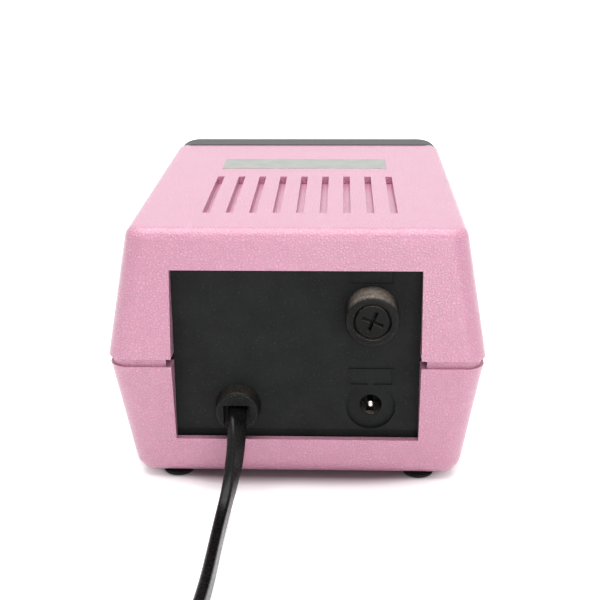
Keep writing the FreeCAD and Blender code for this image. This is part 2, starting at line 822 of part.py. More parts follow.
def make_bushing():
    head = Part.makeCone(bushing_head_r, bushing_face_r, bushing_out,
                         Vector(bushing_x, y_at(panel_in), bushing_z), Vector(0, 1, 0))
    head = rounded(head, bushing_round, lambda c, t: c.y > y_at(bushing_front + 0.01))
    body = head.fuse(along_y(bushing_neck_r, bushing_x, bushing_z, panel_in - 0.5,
                             panel_back + bushing_inside))
    latch = Part.makeCone(bushing_neck_r + 0.8, bushing_neck_r - 0.6, bushing_inside - 1,
                          Vector(bushing_x, y_at(panel_back + 0.1), bushing_z), Vector(0, -1, 0))
    mouth = box(bushing_x - bushing_mouth_half, bushing_x + bushing_mouth_half, bushing_front - 1,
                mouth_floor_in, bushing_z - bushing_head_r - 1, mouth_top_z)
    return knocked(body.fuse(latch), mouth, flat_section(cord_slot_clear, 0, 40)).removeSplitter()


keep("cord_bushing", make_bushing())
keep("cord_entry", flat_section(0, mouth_floor_in, mouth_floor_in + cord_entry_length))


# ---------------------------------------------------------------- controls on the sloped face
def face_node(place, *shapes):
    return [placed(shape, on_face(place)) for shape in shapes]


def disc(r, z0, z1):
    return Part.makeCylinder(r, z1 - z0, Vector(0, 0, z0))


def hexagon(r, z0, z1):
    corners = [Vector(r * math.cos(math.radians(60 * k)), r * math.sin(math.radians(60 * k)), z0)
               for k in range(6)]
    return Part.Face(Part.makePolygon(corners + corners[:1])).extrude(Vector(0, 0, z1 - z0))


overlay_top = overlay_thickness - overlay_recess
pot_bush_top = pot_bush_length - wall
knob_base = knob_over_face
knob_top = knob_over_face + knob_height


def make_knob():
    knob = disc(knob_r, knob_base, knob_top)
    knob = rounded(knob, knob_rim_r, lambda c, t: c.z > knob_top - 0.01)
    for number in range(knob_flutes):
        angle = 2 * math.pi * number / knob_flutes
        flute = disc(knob_flute_r, knob_base + knob_skirt_height, knob_top + 1)
        flute.translate(Vector(knob_r * math.cos(angle), knob_r * math.sin(angle), 0))
        knob = knob.cut(flute)
    skirt = disc(knob_skirt_r, knob_base, knob_base + knob_skirt_height)
    skirt = rounded(skirt, 0.8, lambda c, t: c.z > knob_base + knob_skirt_height - 0.01)
    knob = knob.fuse(skirt)
    knob = knocked(knob, disc(pot_nut_r + 1.2, 0, pot_bush_top + 1.0), disc(pot_shaft_r, 0, knob_top - 2.5))
    return knob.cut(knob_pointer()).removeSplitter()


def knob_pointer():
    """White line let into the knob's top; at rest it points at the lowest number."""
    bar = Part.makeBox(pointer_width, knob_r - pointer_from - 1.5, pointer_depth + pointer_raise,
                       Vector(-pointer_width / 2, pointer_from, knob_top - pointer_depth))
    bar.rotate(Vector(0, 0, 0), Vector(0, 0, 1), pointer_angle)
    return bar


keep("speed_knob", *face_node(knob_at, make_knob()))
keep("knob_pointer", *face_node(knob_at, knob_pointer()))
shaft_bottom = -wall - pot_height + 1.5
keep("pot_shaft", *face_node(knob_at, disc(pot_shaft_r, shaft_bottom, knob_top - 2.5)))
pot = disc(pot_r, -wall - pot_height, -wall).fuse(disc(pot_bush_r, -wall - 0.5, pot_bush_top))
pot = pot.cut(disc(pot_shaft_r + pot_fit, shaft_bottom - 0.1, pot_bush_top + 1))
keep("pot_body", *face_node(knob_at, pot))
pot_nut = hexagon(pot_nut_r, overlay_top, overlay_top + pot_nut_height).cut(
    disc(pot_bush_r + thread_play, 0, pot_height))
keep("pot_nut", *face_node(knob_at, pot_nut))


# Rocker: a disc about its pivot, cut to a shallow V on top, so that it never leaves its pocket's gap.
pocket_length = 2 * (rocker_r + rocker_gap + 0.05)
pocket_width = 2 * (rocker_half_width + rocker_gap)
rocker_v_rise = 1.5
rocker_middle_z = 2.4
rocker_under = 3.0            # its flat underside, below the control face


def rocker_disc(r, half_length):
    return Part.makeCylinder(r, 2 * half_length, Vector(-half_length, 0, rocker_pivot_out), Vector(1, 0, 0))


def make_rocker(tilt):
    rocker = rocker_disc(rocker_r, rocker_half_width)
    reach = 3 * rocker_r
    tip_rise = rocker_v_rise * reach / rocker_r
    tip_z, sky_z = rocker_middle_z + tip_rise, 9 * rocker_r
    section = [(0, rocker_middle_z), (reach, tip_z), (reach, sky_z), (-reach, sky_z), (-reach, tip_z),
               (0, rocker_middle_z)]
    sky = Part.makePolygon([Vector(-reach, y, z) for y, z in section])
    rocker = rocker.cut(Part.Face(sky).extrude(Vector(2 * reach, 0, 0)))
    rocker = rocker.cut(centred_box((reach, reach, reach), -reach - rocker_under))
    rocker = rocker.fuse(rocker_disc(rocker_pivot_r, switch_body[0] / 2 - 0.1)).removeSplitter()
    rocker.rotate(Vector(0, 0, rocker_pivot_out), Vector(1, 0, 0), tilt)
    return rocker


def make_switch():
    top = overlay_top + switch_flange[2]
    body = centred_box((switch_flange[0], switch_flange[1], switch_flange[2]), overlay_top)
    body = rounded(body, 0.6, upright_edge)
    housing = (switch_body[0], switch_body[1], switch_body[2] + overlay_top + 0.1)
    body = body.fuse(centred_box(housing, -switch_body[2]))
    pocket = centred_box((pocket_width, pocket_length, top + 8.0), -7.0)
    pivot = rocker_disc(rocker_pivot_r + rocker_pivot_fit, switch_body[0] / 2 + 1)
    return knocked(body, pocket, pivot).removeSplitter()


def make_blades():
    return [centred_box(blade, -switch_body[2] - blade[2], 0, step * blade_pitch) for step in (-1, 0, 1)]


for name, place in rocker_places.items():
    rocker = make_rocker(rocker_rest[name])
    keep(name + "_rocker", *face_node(place, rocker))
    keep(name + "_switch_body", *face_node(place, make_switch()))
keep("switch_blades", *[one for place in rocker_places.values() for one in face_node(place, *make_blades())])

# handpiece jack and power lamp
jack_front = overlay_top + hand_jack_nut_height
bore_end = jack_front - hand_jack_bore_length
hand_jack = disc(hand_jack_thread_r, -wall - 0.5, jack_front)
hand_jack = hand_jack.fuse(centred_box(hand_jack_body, -wall - hand_jack_body[2]))
hand_jack = hand_jack.cut(disc(hand_jack_bore_r, bore_end, jack_front + 1)).removeSplitter()
keep("handpiece_jack_body", *face_node(hand_jack_at, hand_jack))
hand_nut = disc(hand_jack_nut_r, overlay_top, jack_front).cut(
    disc(hand_jack_thread_r + thread_play, 0, hand_jack_bore_length))
hand_nut = rounded(hand_nut, 0.5, lambda c, t: c.z > jack_front - 0.01)
keep("handpiece_jack_nut", *face_node(hand_jack_at, hand_nut))
lug_z = -wall - hand_jack_body[2]
lugs = [centred_box(jack_lug, lug_z - jack_lug[2], side * jack_lug_from_middle) for side in (-1, 1)]
keep("handpiece_jack_lugs", *face_node(hand_jack_at, *lugs))
lens = disc(lamp_r, 1.0 - lamp_length, 1.0).fuse(Part.makeSphere(lamp_r, Vector(0, 0, 1.0)))
keep("power_lamp", *face_node(lamp_at, lens.removeSplitter()))
holder = disc(lamp_holder_r, overlay_top, overlay_top + 1.2)
holder = holder.fuse(disc(lamp_sleeve_r, -wall - 2, overlay_top + 0.5))
holder = rounded(holder, 0.5, lambda c, t: c.z > overlay_top + 1.19)
holder = holder.cut(disc(lamp_r + thread_play, -lamp_length, lamp_length))
keep("lamp_holder", *face_node(lamp_at, holder.removeSplitter()))

# ---------------------------------------------------------------- transformer
core_z = floor_z + rail_height
core_mid_z = core_z + core_height / 2


def trafo_box(half_x, half_y, z0, z1, x=0.0):
    return box(trafo_x + x - half_x, trafo_x + x + half_x, trafo_in - half_y, trafo_in + half_y, z0, z1)


def make_core():
    core = trafo_box(core_width / 2, core_stack / 2, core_z, core_z + core_height)
    window_x = core_leg / 2 + core_window[0] / 2
    windows = [trafo_box(core_window[0] / 2, core_stack, core_mid_z - core_window[1] / 2,
                         core_mid_z + core_window[1] / 2, side * window_x) for side in (-1, 1)]
    return knocked(core, *windows)


def make_bobbin():
    inner_x, inner_y = core_leg / 2 + bobbin_clear, core_stack / 2 + bobbin_clear
    half_z = core_window[1] / 2 - bobbin_clear
    reach = core_window[0] - coil_clear
    tube = trafo_box(inner_x + bobbin_wall, inner_y + bobbin_wall, core_mid_z - half_z, core_mid_z + half_z)
    for z0 in (core_mid_z - half_z, core_mid_z + half_z - bobbin_wall):
        tube = tube.fuse(trafo_box(core_leg / 2 + reach, core_stack / 2 + reach, z0, z0 + bobbin_wall))
    return tube.cut(trafo_box(inner_x, inner_y, 0, 99)).removeSplitter()


def make_winding():
    half_z = core_window[1] / 2 - bobbin_clear - bobbin_wall
    reach = core_window[0] - 2 * coil_clear
    outer = trafo_box(core_leg / 2 + reach, core_stack / 2 + reach, core_mid_z - half_z, core_mid_z + half_z)
    outer = rounded(outer, 3.0, upright_edge)
    grip = bobbin_clear + bobbin_wall
    return outer.cut(trafo_box(core_leg / 2 + grip, core_stack / 2 + grip, 0, 99))


def make_bracket():
    half = core_width / 2
    strap = trafo_box(half + bracket_sheet, bracket_width / 2,
                      core_z, core_z + core_height + bracket_sheet)
    strap = strap.cut(trafo_box(half, core_stack, 0, core_z + core_height))
    ear_reach = half + bracket_sheet + bracket_ear
    ears = trafo_box(ear_reach, bracket_width / 2, core_z, core_z + bracket_sheet)
    strap = strap.fuse(ears.cut(trafo_box(half, core_stack, 0, 99)))
    return knocked(strap, *[upright(screw_r + screw_clear, x, trafo_in, 0, core_mid_z)
                            for x in bracket_screw_places()])


def screw(x, depth, seat_z, tip_z, head_r=screw_head_r, head=screw_head_height, up=1):
    """Pan head screw; up is -1 for one that is driven from below, with its head under the seat."""
    z0, z1 = sorted((seat_z, seat_z + up * head))
    t0, t1 = sorted((seat_z, tip_z))
    recess = upright(head_r * 0.45, x, depth, *sorted((seat_z + up * head, seat_z + up * head * 0.5)))
    return upright(head_r, x, depth, z0, z1).cut(recess).fuse(upright(screw_shank_r, x, depth, t0, t1))


keep("transformer_core", make_core())
keep("transformer_bobbin", make_bobbin())
keep("transformer_winding", make_winding())
keep("transformer_bracket", make_bracket())
keep("bracket_screws", *[screw(x, trafo_in, core_z + bracket_sheet, floor_z) for x in bracket_screw_places()])

# ---------------------------------------------------------------- main board
board_z = floor_z + board_over_floor
board_top = board_z + board_thickness
board_rear = board_in - board_length / 2


def make_board():
    half = board_width / 2
    board = box(-half, half, board_rear, board_rear + board_length, board_z, board_top)
    return knocked(board, *[upright(screw_r + screw_clear, x, depth, 0, board_top + over)
                            for x, depth in board_screw_places()])


def on_board(x, depth, size, lift=0.0):
    """Block on the board; x from the board's left edge and depth from its rear edge."""
    left, rear = -board_width / 2 + x, board_rear + depth
    return box(left, left + size[0], rear, rear + size[1], board_top + lift, board_top + lift + size[2])


def make_heatsink():
    plate_x, plate_in = 9.0, 2.0 + heatsink_fin[1] - 0.2
    pitch = (heatsink_size[0] - heatsink_fin[0]) / (heatsink_fins - 1)
    fins = [on_board(plate_x + pitch * k, 2.0, (*heatsink_fin, heatsink_size[2]))
            for k in range(heatsink_fins)]
    return joined(on_board(plate_x, plate_in, heatsink_size), *fins)


def make_transistor():
    x, depth, seat = 19.0, 13.0, transistor_leg[2] - 0.2
    tab = on_board(x, depth, transistor_tab, seat)
    middle = -board_width / 2 + x + transistor_tab[0] / 2
    tab = tab.cut(along_y(1.6, middle, board_top + seat + 12.0, board_rear + depth - over,
                          board_rear + depth + transistor_tab[1] + over))
    body = on_board(x, depth + 0.6, transistor_body, seat)
    first_leg = x + transistor_tab[0] / 2 - transistor_leg[0] / 2
    legs = [on_board(first_leg + k * transistor_pitch, depth + 2, transistor_leg) for k in (-1, 0, 1)]
    return joined(tab, body, *legs)


def make_capacitors():
    cans = [upright(r, x, board_rear + depth, board_top, board_top + tall)
            for x, depth, r, tall in capacitor_list]
    return [rounded(can, 0.8, lambda c, t: c.z > board_top + 1) for can in cans]


def make_connectors():
    wide, deep, tall = connector_size
    room = (wide - 2 * connector_wall, deep - 2 * connector_wall, tall)
    return [on_board(board_width / 2 + x, 31, connector_size).cut(
        on_board(board_width / 2 + x + connector_wall, 31 + connector_wall, room, connector_floor))
        for x in connector_x]


keep("main_board", make_board())
keep("heatsink", make_heatsink())
keep("transistor", make_transistor())
keep("capacitors", *make_capacitors())
keep("rectifier", on_board(board_width / 2 + 1, 21, rectifier_size))
keep("board_connectors", *make_connectors())
keep("board_screws", *[screw(x, depth, board_top, floor_z + 1, *board_screw_head)
                       for x, depth in board_screw_places()])


# ---------------------------------------------------------------- feet and case screws
foot_seat_z = foot_screw_head + head_clear


def make_foot(x, depth):
    foot = Part.makeCone(foot_face_r, foot_r, foot_height, Vector(x, y_at(depth), 0))
    foot = rounded(foot, foot_rim_r, lambda c, t: c.z < 0.01)
    return knocked(foot, upright(screw_head_r + head_clear, x, depth, -over, foot_seat_z),
                   upright(screw_r, x, depth, -over, foot_height + over))


keep("feet", *[make_foot(x, depth) for x, depth in foot_places()])
keep("foot_screws", *[screw(x, depth, foot_seat_z, foot_height + foot_screw_length - 0.5,
                            screw_head_r, foot_screw_head, -1) for x, depth in foot_places()])
keep("case_screws", *[screw(side * boss_x, depth, foot_height + counterbore_depth,
                            parting_z + boss_pilot_depth - 4, up=-1)
                      for side in (-1, 1) for depth in (boss_rear_in, boss_front_in)])


# ---------------------------------------------------------------- leads inside the case
def lead(*points):
    return round_tube([Vector(x, y_at(depth), z) for x, depth, z in points], lead_r)


entry_end = mouth_floor_in + cord_entry_length
side_lug_bottom = fuse_z - fuse_neck_r - fuse_lug[2]
end_lug_tip = fuse_shell_end + fuse_lug[2] + over
switch_low = on_face(rocker_places["power"]).multVec(Vector(0, 0, -switch_body[2] - blade[2]))
switch_in = rear_y - switch_low.y
left_x, right_x = bushing_x - lead_spacing / 2, bushing_x + lead_spacing / 2
keep("inner_leads",
     lead((left_x, entry_end, cord_exit_z), (left_x, entry_end + 6, cord_exit_z),
          (8, entry_end + 9, 39.3), (-12, entry_end + 6, 43.3), (fuse_x, side_lug_in, 40.3),
          (fuse_x, side_lug_in, side_lug_bottom)),
     lead((right_x, entry_end, cord_exit_z), (right_x, entry_end + 6, cord_exit_z),
          (right_x + 6.6, entry_end + 22, 49.3), (right_x + 4.6, entry_end + 42, 65.3), (9, 105, 69.3),
          (switch_low.x + 1.5, switch_in - 7, switch_low.z + 1),
          (switch_low.x + 1.5, switch_in, switch_low.z - lead_r)),
     lead((fuse_x, end_lug_tip, fuse_z), (fuse_x, end_lug_tip + 9, fuse_z),
          (fuse_x + 3, end_lug_tip + 22, fuse_z + 7), (-12, 88, 66.3), (-4, 110, 63.3),
          (switch_low.x - 3, switch_in - 9, switch_low.z - 2),
          (switch_low.x - 1, switch_in, switch_low.z - 2.8)))

# ---------------------------------------------------------------- free cord
coil_x, coil_in = coil_centre
coil_outer_r = coil_mean_r + coil_build / 2
coil_inner_r = coil_mean_r - coil_build / 2
plug_z = plug_height / 2

# x, distance behind the rear parting edge as a negative number, height
lead_route = [(18.6, 5.4, 25.2), (18.6, 0.8, 25.2), (18.2, -3.6, 23.0), (18.2, -8.2, 17.4),
              (19.5, -13.6, 10.8), (20.7, -20.4, 5.8), (21.3, -29.6, 3.4), (21.6, -42.0, 3.1),
              (22.0, -56.0, 3.1), (22.8, -70.0, 3.1), (24.3, -84.5, 3.1), (27.0, -99.1, 3.4),
              (31.85, -114.35, 4.0)]
tail_route = [(0.0, -161.4, 9.9), (-10.0, -162.8, 9.0), (-20.0, -164.6, 6.8), (-29.0, -164.6, 6.8)]


def cord_tube(route):
    return round_tube([Vector(x, y_at(depth), z) for x, depth, z in route], cord_width / 2)


def ring_solid(outer_r, inner_r, z0, z1):
    return upright(outer_r, coil_x, coil_in, z0, z1).cut(
        upright(inner_r, coil_x, coil_in, z0 - over, z1 + over))


coil_z = cord_tie_sheet + tie_clear
coil_ring = ring_solid(coil_outer_r, coil_inner_r, coil_z, coil_z + coil_height)
keep("cord_lead", cord_tube(lead_route))
keep("cord_coil", rounded(coil_ring, coil_round, lambda c, t: abs(t.z) < 0.5))
tie = ring_solid(coil_outer_r + cord_tie_sheet, coil_inner_r - cord_tie_sheet, 0, 2 * coil_z + coil_height)
tie = tie.cut(ring_solid(coil_outer_r, coil_inner_r, coil_z, coil_z + coil_height))
keep("cord_tie", tie.common(box(coil_x - 2 * coil_outer_r, coil_x, coil_in - cord_tie_width / 2,
                                coil_in + cord_tie_width / 2, -over, 3 * coil_height)))
keep("cord_tail", cord_tube(tail_route))

plug_x = tail_route[-1][0]
plug_in = tail_route[-1][1]


def along_x(r, depth, x0, x1):
    return Part.makeCylinder(r, x1 - x0, Vector(x0, y_at(depth), plug_z), Vector(1, 0, 0))


def make_plug():
    body_x1 = plug_x - plug_nose
    body = box(body_x1 - plug_length, body_x1, plug_in - plug_width / 2, plug_in + plug_width / 2,
               0, plug_height)
    body = rounded(body, plug_edge_r, lambda c, t: abs(t.x) > 0.9)
    body = rounded(body, plug_shoulder_r, lambda c, t: c.x > body_x1 - 0.01)
    nose = Part.makeCone(plug_nose_r, cord_width / 2 + 0.6, plug_nose + 2,
                         Vector(body_x1 - 2, y_at(plug_in), plug_z), Vector(1, 0, 0))
    return body.fuse(nose).removeSplitter(), body_x1 - plug_length


def make_pins(face_x):
    pins = []
    for side in (-1, 1):
        pin = along_x(plug_pin_r, plug_in + side * plug_pin_spacing / 2, face_x - plug_pin_length, face_x)
        pin = rounded(pin, 1.2, lambda c, t: c.x < face_x - plug_pin_length + 0.01)
        pins.append(pin)
    return pins


plug_body, plug_face_x = make_plug()
keep("plug_body", plug_body)
keep("plug_pins", *make_pins(plug_face_x))

# ---------------------------------------------------------------- one file for each node
os.makedirs("parts", exist_ok=True)
for name, solids in nodes.items():
    pieces = [piece for solid in solids for piece in solid.Solids]
    whole = pieces[0] if len(pieces) == 1 else Part.makeCompound(pieces)
    whole.exportStep(os.path.join("parts", name + ".step"))
    good = all(piece.isValid() and piece.Volume > 0 for piece in pieces)
    print(f"{name:22s} solids {len(pieces)} volume {whole.Volume / 1000:8.3f} cm3", "" if good else "INVALID")
print("nodes", len(nodes), "rear edge at y", round(rear_y, 3))
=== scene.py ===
# %% [markdown]
# # A desktop nail drill's control unit, seen from behind
#
# The unit is a pink ABS box of two shells that meet in an open groove. Its back has a recessed
# black panel with a fuse holder, a jack for the foot pedal and a flat mains lead. The lesson
# starts from the unit's frame, which already holds every part at its true place and size, and
# adds the camera, the lead with its plug and tie, the print, and a finish for each surface.

import math

import bmesh
import bpy
from mathutils import Matrix, Vector


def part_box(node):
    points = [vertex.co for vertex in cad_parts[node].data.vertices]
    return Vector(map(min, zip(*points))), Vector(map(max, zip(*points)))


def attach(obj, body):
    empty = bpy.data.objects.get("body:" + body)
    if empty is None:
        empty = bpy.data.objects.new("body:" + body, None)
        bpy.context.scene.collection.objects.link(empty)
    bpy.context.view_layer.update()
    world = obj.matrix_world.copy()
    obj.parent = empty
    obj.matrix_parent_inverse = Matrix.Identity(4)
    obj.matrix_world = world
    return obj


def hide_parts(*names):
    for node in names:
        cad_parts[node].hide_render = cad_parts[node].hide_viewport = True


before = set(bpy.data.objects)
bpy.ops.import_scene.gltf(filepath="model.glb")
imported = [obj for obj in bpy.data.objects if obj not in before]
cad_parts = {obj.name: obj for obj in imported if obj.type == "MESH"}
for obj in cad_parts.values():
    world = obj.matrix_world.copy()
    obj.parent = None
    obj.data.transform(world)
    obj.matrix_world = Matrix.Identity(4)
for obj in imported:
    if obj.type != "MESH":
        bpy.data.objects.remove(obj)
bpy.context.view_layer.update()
mm = 0.001


# %% [markdown]
# ## The camera
#
# The unit is looked at from behind and a little above, from about arm's length. A portrait lens
# that far away keeps the sides nearly parallel. A camera could be aimed by a Track To constraint,
# but a placement from three turns can also lean it, as a hand-held camera leans.

# %% Camera
camera_data = bpy.data.cameras.new("view_from_behind")
camera_data.lens = 68.29
camera_data.sensor_width = 36.0
camera_data.clip_start = 0.01
camera = bpy.data.objects.new("view_from_behind", camera_data)
bpy.context.scene.collection.objects.link(camera)
camera_pitch = 19.45
camera_yaw = 2.18
camera_lean = -0.407
camera.matrix_world = (
    Matrix.Translation((-0.01370, 0.40761, 0.17759))
    @ Matrix.Rotation(math.radians(180 + camera_yaw), 4, "Z")
    @ Matrix.Rotation(math.radians(90 - camera_pitch), 4, "X")
    @ Matrix.Rotation(math.radians(camera_lean), 4, "Z")
)
bpy.context.scene.camera = camera
print("camera looks down by", camera_pitch, "degrees")


# %% [markdown]
# ## Helpers for pieces
#
# Each new piece is a bmesh that is shaped where it will stand, so its object can stay at the
# origin like the frame's own parts. One helper turns a finished bmesh into an object that moves
# with a body of the frame. Smooth shading with sharp edges kept past an angle suits moulded
# plastic, where flats meet small rounds.

# %% Piece helpers
def make_piece(name, bm, body="case", keep_sharp=35.0, replaces=()):
    """A finished object from a bmesh, riding on a body and standing for frame parts."""
    bmesh.ops.remove_doubles(bm, verts=bm.verts, dist=1e-7)
    bmesh.ops.recalc_face_normals(bm, faces=bm.faces)
    # An extrusion leaves its new elements in no set order, so they are sorted by place, and the
    # mesh is the same each run.
    slant = Vector((1.0, math.sqrt(3), math.sqrt(5)))
    bm.verts.sort(key=lambda vertex: vertex.co.dot(slant))
    bm.edges.sort(key=lambda edge: (edge.verts[0].co + edge.verts[1].co).dot(slant))
    bm.faces.sort(key=lambda face: face.calc_center_median().dot(slant))
    open_edges = sum(not edge.is_manifold for edge in bm.edges)
    mesh = bpy.data.meshes.new(name)
    bm.to_mesh(mesh)
    bm.free()
    mesh.shade_smooth()
    mesh.set_sharp_from_angle(angle=math.radians(keep_sharp))
    piece = bpy.data.objects.new(name, mesh)
    bpy.context.scene.collection.objects.link(piece)
    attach(piece, body)
    if replaces:
        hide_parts(*replaces)
    print(name, len(mesh.polygons), "faces,", open_edges, "open edges")
    return piece


def draw_out(bm, face, stations):
    """Extrudes a face along its stations; each is a matrix that carries the last ring on."""
    first = face
    for step in stations:
        grown = bmesh.ops.extrude_face_region(bm, geom=[face])["geom"]
        if face is not first:
            bmesh.ops.delete(bm, geom=[face], context="FACES_ONLY")
        face = next(part for part in grown if isinstance(part, bmesh.types.BMFace))
        bmesh.ops.transform(bm, matrix=step, verts=face.verts)
    return face


# %% [markdown]
# ## The mains lead
#
# The lead is a flat PVC cord of two cores, 6 mm wide and 3.4 mm thick. It leaves the bushing
# with its wide side up, bends down under its own weight, turns on edge, and runs out over the
# table. The rest is wound up on edge, as a packer leaves it, with the plug beside it. One NURBS
# curve is its line. The section must twist along it, so the tube is a mesh that follows points
# read from that curve.

# %% Route of the lead
rear_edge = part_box("upper_shell")[1].y
lead_width = 6.0 * mm
lead_thickness = 3.4 * mm
run_out = [
    (0.0186, -0.0054, 0.0260), (0.0186, -0.0008, 0.0260), (0.0182, 0.0036, 0.0238),
    (0.0182, 0.0082, 0.0180), (0.0193, 0.0136, 0.0110), (0.0207, 0.0204, 0.0058),
    (0.0216, 0.0296, 0.0034), (0.0219, 0.0420, 0.0031), (0.0221, 0.0560, 0.0031),
    (0.0228, 0.0700, 0.0031), (0.0243, 0.0845, 0.0031), (0.0270, 0.0991, 0.0032),
    (0.03185, 0.11435, 0.0033),
]
run_in = [
    (-0.0100, 0.1638, 0.0088), (-0.0180, 0.1646, 0.0074), (-0.0240, 0.1646, 0.0068),
    (-0.0310, 0.1646, 0.0068),
]
coil_middle = Vector((-0.0040, 0.1260, 0.0))
points_a_turn = 16
cut_in = math.cos(math.pi / points_a_turn)


def ease(low, high, value):
    """0 before low, 1 after high, and smooth between."""
    share = min(1.0, max(0.0, (value - low) / (high - low)))
    return share * share * (3 - 2 * share)


def coil_place(turns):
    """Point of the coil that many turns after it starts: four turns inward, then out on top."""
    angle = math.radians(-18.0) + 2 * math.pi * turns
    whole, part = divmod(turns, 1)
    row = whole + ease(0.8, 1.0, part)
    row = min(row, 3) if turns < 4 else 3 - (row - 4)
    radius = 37.0 * mm - 3.6 * mm * row
    lift = 1.0 * mm * max(0.0, -math.cos(angle)) ** 4
    height = 3.1 * mm + lift + 6.1 * mm * ease(3.55, 3.87, turns)
    return coil_middle + Vector((radius / cut_in * math.cos(angle),
                                 radius / cut_in * math.sin(angle), height))


coil_turns = 7.27
coil_run = [coil_place(number / points_a_turn)
            for number in range(1, int(coil_turns * points_a_turn) + 1)]
route = [Vector(point) + Vector((0, rear_edge, 0)) for point in [*run_out, *coil_run, *run_in]]
line_data = bpy.data.curves.new("lead_line", "CURVE")
line_data.dimensions = "3D"
line_data.resolution_u = 8
spline = line_data.splines.new("NURBS")
spline.points.add(len(route) - 1)
for knot, point in zip(spline.points, route):
    knot.co = (*point, 1.0)
spline.order_u = 3
spline.use_endpoint_u = True
line_object = bpy.data.objects.new("lead_line", line_data)
line_mesh = bpy.data.meshes.new_from_object(line_object)
lead_line = [vertex.co.copy() for vertex in line_mesh.vertices]
bpy.data.meshes.remove(line_mesh)
bpy.data.objects.remove(line_object)
lead_length = sum((b - a).length for a, b in zip(lead_line, lead_line[1:]))
print("lead", len(route), "control points,", len(lead_line), "rings,", round(lead_length, 3), "m")


# %% Twist of the lead
# Millimetres from the lead's start, and the degrees that the section has turned there.
twist_steps = [(0.0, 0), (3.5, 6), (8.0, 34), (12.8, 48), (16.0, 58), (22.3, 70), (26.0, 82),
               (32.0, 90)]


def twist_at(travelled):
    """Degrees that the section has turned, that many metres from the lead's start."""
    for (start, low), (end, high) in zip(twist_steps, twist_steps[1:]):
        if travelled < end * mm:
            return low + (high - low) * (travelled - start * mm) / ((end - start) * mm)
    return 90


def section_frame(number, travelled):
    """Matrix that puts the section at a ring: its wide side level at both ends, on edge between."""
    before = lead_line[max(0, number - 1)]
    after = lead_line[min(len(lead_line) - 1, number + 1)]
    ahead = (after - before).normalized()
    side = ahead.cross(Vector((0, 0, 1))).normalized()
    up = side.cross(ahead)
    left = lead_length - travelled
    twist = math.radians(min(twist_at(travelled), 90 * ease(6 * mm, 26 * mm, left)))
    wide = side * math.cos(twist) + up * math.sin(twist)
    thin = ahead.cross(wide)
    place = Matrix((wide, thin, ahead)).transposed().to_4x4()
    place.translation = lead_line[number]
    return place


travelled, ring_frames = 0.0, []
for number, point in enumerate(lead_line):
    if number:
        travelled += (point - lead_line[number - 1]).length
    ring_frames.append(section_frame(number, travelled))


# %% Tube of the lead
bm = bmesh.new()
bmesh.ops.create_grid(bm, x_segments=1, y_segments=1, size=0.5)
bmesh.ops.scale(bm, vec=(lead_width, lead_thickness, 1.0), verts=bm.verts)
bmesh.ops.bevel(bm, geom=bm.verts, offset=1.15 * mm, offset_type="OFFSET", segments=5, profile=0.5,
                affect="VERTICES", material=-1)
bm.faces.ensure_lookup_table()
first_face = bm.faces[0]
bmesh.ops.transform(bm, matrix=ring_frames[0], verts=bm.verts)
draw_out(bm, first_face, [b @ a.inverted() for a, b in zip(ring_frames, ring_frames[1:])])
mains_lead = make_piece("mains_lead", bm, keep_sharp=70.0,
                        replaces=("cord_lead", "cord_coil", "cord_tail"))


# %% [markdown]
# ## The plug
#
# A two-pin plug is moulded onto the lead in soft PVC. It is flat and six-sided, narrower at the
# grip, with ribs for the fingers, and it runs out into a ribbed sleeve that saves the lead from
# a kink. A rounded face that is drawn out along the plug's axis, and scaled at each station,
# gives such a body in one go.

# %% Plug body
plug_low, plug_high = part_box("plug_body")
plug_axis = Vector((0, (plug_low.y + plug_high.y) / 2, (plug_low.z + plug_high.z) / 2))
plug_stations = [
    (0.0, 25.0, 12.6), (0.4, 26.0, 13.6), (9.0, 26.0, 13.6), (11.0, 25.0, 13.2),
    (13.0, 23.2, 12.6), (14.2, 22.0, 12.4), (15.0, 23.0, 12.9), (16.2, 21.6, 12.2),
    (17.4, 22.4, 12.7), (18.6, 20.8, 12.0), (19.8, 21.4, 12.4), (21.0, 19.8, 11.6),
    (22.2, 20.2, 12.0), (23.4, 18.4, 11.2), (27.0, 16.2, 10.6), (31.0, 13.0, 9.8),
    (34.0, 10.4, 8.8), (35.0, 9.2, 8.0), (35.6, 8.4, 6.6), (37.2, 8.6, 6.6), (37.6, 7.4, 5.6),
    (38.4, 7.4, 5.6), (38.8, 8.0, 6.2), (40.0, 8.0, 6.2), (40.4, 7.0, 5.2), (41.2, 6.8, 5.0),
    (41.8, 6.4, 4.6),
]


def plug_place(station):
    """Matrix of a plug ring, sized from a ring of one unit each way."""
    along, wide, tall = (value * mm for value in station)
    middle = Vector((plug_low.x + along, plug_axis.y, plug_axis.z))
    return (Matrix.Translation(middle) @ Matrix.Rotation(math.pi / 2, 4, "Y")
            @ Matrix.Diagonal((tall, wide, 1.0, 1.0)))


bm = bmesh.new()
bmesh.ops.create_grid(bm, x_segments=1, y_segments=1, size=0.5)
bmesh.ops.scale(bm, vec=(1.0, 1.9, 1.0), verts=bm.verts)
bmesh.ops.bevel(bm, geom=bm.verts, offset=0.32, offset_type="OFFSET", segments=8, profile=0.5,
                affect="VERTICES", material=-1)
bmesh.ops.scale(bm, vec=(1.0, 1 / 1.9, 1.0), verts=bm.verts)
bm.faces.ensure_lookup_table()
places = [plug_place(station) for station in plug_stations]
plug_face = bm.faces[0]
bmesh.ops.transform(bm, matrix=places[0], verts=bm.verts)
draw_out(bm, plug_face, [b @ a.inverted() for a, b in zip(places, places[1:])])
plug_moulding = make_piece("plug_moulding", bm, replaces=("plug_body",))


